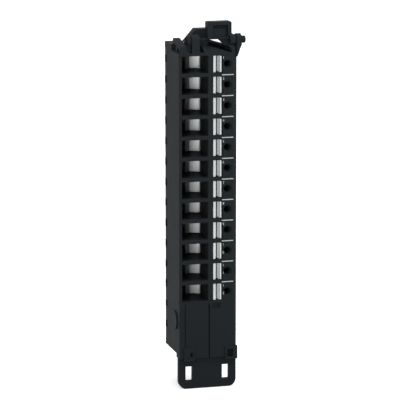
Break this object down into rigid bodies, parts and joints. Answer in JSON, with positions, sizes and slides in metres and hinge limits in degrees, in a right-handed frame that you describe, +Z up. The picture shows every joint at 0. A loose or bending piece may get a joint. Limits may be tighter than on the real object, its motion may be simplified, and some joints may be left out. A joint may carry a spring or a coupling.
{
  "type": "spring terminal block",
  "caption": "Removable spring terminal block: a tall narrow housing with wire windows, spring contacts, probe holes, a hinged locking lever and a strap flange.",
  "frame": {"origin": "rear mating face, on the middle plane of the body, halfway up the row of positions", "axes": "+X across the block to the probe holes, +Y out of the rear face into the module, +Z up towards the lever"},
  "size_m": [0.0168, 0.0136, 0.0885],
  "materials": {
    "housing": "satin",
    "lever": "satin",
    "pin": "satin",
    "spring_steel": "satin",
    "contact_metal": "satin"
  },
  "bodies": {
    "block": {"front_housing": "housing", "rear_cover": "housing", "hinge_pin_left": "pin", "hinge_pin_right": "pin", "current_bar_01": "contact_metal", "current_bar_02": "contact_metal", "current_bar_03": "contact_metal", "current_bar_04": "contact_metal", "current_bar_05": "contact_metal", "current_bar_06": "contact_metal", "current_bar_07": "contact_metal", "current_bar_08": "contact_metal", "current_bar_09": "contact_metal", "current_bar_10": "contact_metal", "current_bar_11": "contact_metal", "current_bar_12": "contact_metal"},
    "lever": {"locking_lever": "lever"},
    "spring_01": {"clamp_spring_01": "spring_steel"},
    "spring_02": {"clamp_spring_02": "spring_steel"},
    "spring_03": {"clamp_spring_03": "spring_steel"},
    "spring_04": {"clamp_spring_04": "spring_steel"},
    "spring_05": {"clamp_spring_05": "spring_steel"},
    "spring_06": {"clamp_spring_06": "spring_steel"},
    "spring_07": {"clamp_spring_07": "spring_steel"},
    "spring_08": {"clamp_spring_08": "spring_steel"},
    "spring_09": {"clamp_spring_09": "spring_steel"},
    "spring_10": {"clamp_spring_10": "spring_steel"},
    "spring_11": {"clamp_spring_11": "spring_steel"},
    "spring_12": {"clamp_spring_12": "spring_steel"}
  },
  "joints": [
    {"name": "lever_hinge", "type": "hinge", "parent": "block", "child": "lever", "pos_m": [0, -0.01185, 0.033], "axis": [1, 0, 0], "range_deg": [0, 70]},
    {"name": "spring_01_opening", "type": "hinge", "parent": "block", "child": "spring_01", "pos_m": [0.00168, -0.01247, 0.0275], "axis": [0, 0, -1], "range_deg": [0, 5], "stiffness_Nm_per_rad": 0.1},
    {"name": "spring_02_opening", "type": "hinge", "parent": "block", "child": "spring_02", "pos_m": [0.00168, -0.01247, 0.0225], "axis": [0, 0, -1], "range_deg": [0, 5], "stiffness_Nm_per_rad": 0.1},
    {"name": "spring_03_opening", "type": "hinge", "parent": "block", "child": "spring_03", "pos_m": [0.00168, -0.01247, 0.0175], "axis": [0, 0, -1], "range_deg": [0, 5], "stiffness_Nm_per_rad": 0.1},
    {"name": "spring_04_opening", "type": "hinge", "parent": "block", "child": "spring_04", "pos_m": [0.00168, -0.01247, 0.0125], "axis": [0, 0, -1], "range_deg": [0, 5], "stiffness_Nm_per_rad": 0.1},
    {"name": "spring_05_opening", "type": "hinge", "parent": "block", "child": "spring_05", "pos_m": [0.00168, -0.01247, 0.0075], "axis": [0, 0, -1], "range_deg": [0, 5], "stiffness_Nm_per_rad": 0.1},
    {"name": "spring_06_opening", "type": "hinge", "parent": "block", "child": "spring_06", "pos_m": [0.00168, -0.01247, 0.0025], "axis": [0, 0, -1], "range_deg": [0, 5], "stiffness_Nm_per_rad": 0.1},
    {"name": "spring_07_opening", "type": "hinge", "parent": "block", "child": "spring_07", "pos_m": [0.00168, -0.01247, -0.0025], "axis": [0, 0, -1], "range_deg": [0, 5], "stiffness_Nm_per_rad": 0.1},
    {"name": "spring_08_opening", "type": "hinge", "parent": "block", "child": "spring_08", "pos_m": [0.00168, -0.01247, -0.0075], "axis": [0, 0, -1], "range_deg": [0, 5], "stiffness_Nm_per_rad": 0.1},
    {"name": "spring_09_opening", "type": "hinge", "parent": "block", "child": "spring_09", "pos_m": [0.00168, -0.01247, -0.0125], "axis": [0, 0, -1], "range_deg": [0, 5], "stiffness_Nm_per_rad": 0.1},
    {"name": "spring_10_opening", "type": "hinge", "parent": "block", "child": "spring_10", "pos_m": [0.00168, -0.01247, -0.0175], "axis": [0, 0, -1], "range_deg": [0, 5], "stiffness_Nm_per_rad": 0.1},
    {"name": "spring_11_opening", "type": "hinge", "parent": "block", "child": "spring_11", "pos_m": [0.00168, -0.01247, -0.0225], "axis": [0, 0, -1], "range_deg": [0, 5], "stiffness_Nm_per_rad": 0.1},
    {"name": "spring_12_opening", "type": "hinge", "parent": "block", "child": "spring_12", "pos_m": [0.00168, -0.01247, -0.0275], "axis": [0, 0, -1], "range_deg": [0, 5], "stiffness_Nm_per_rad": 0.1}
  ]
}
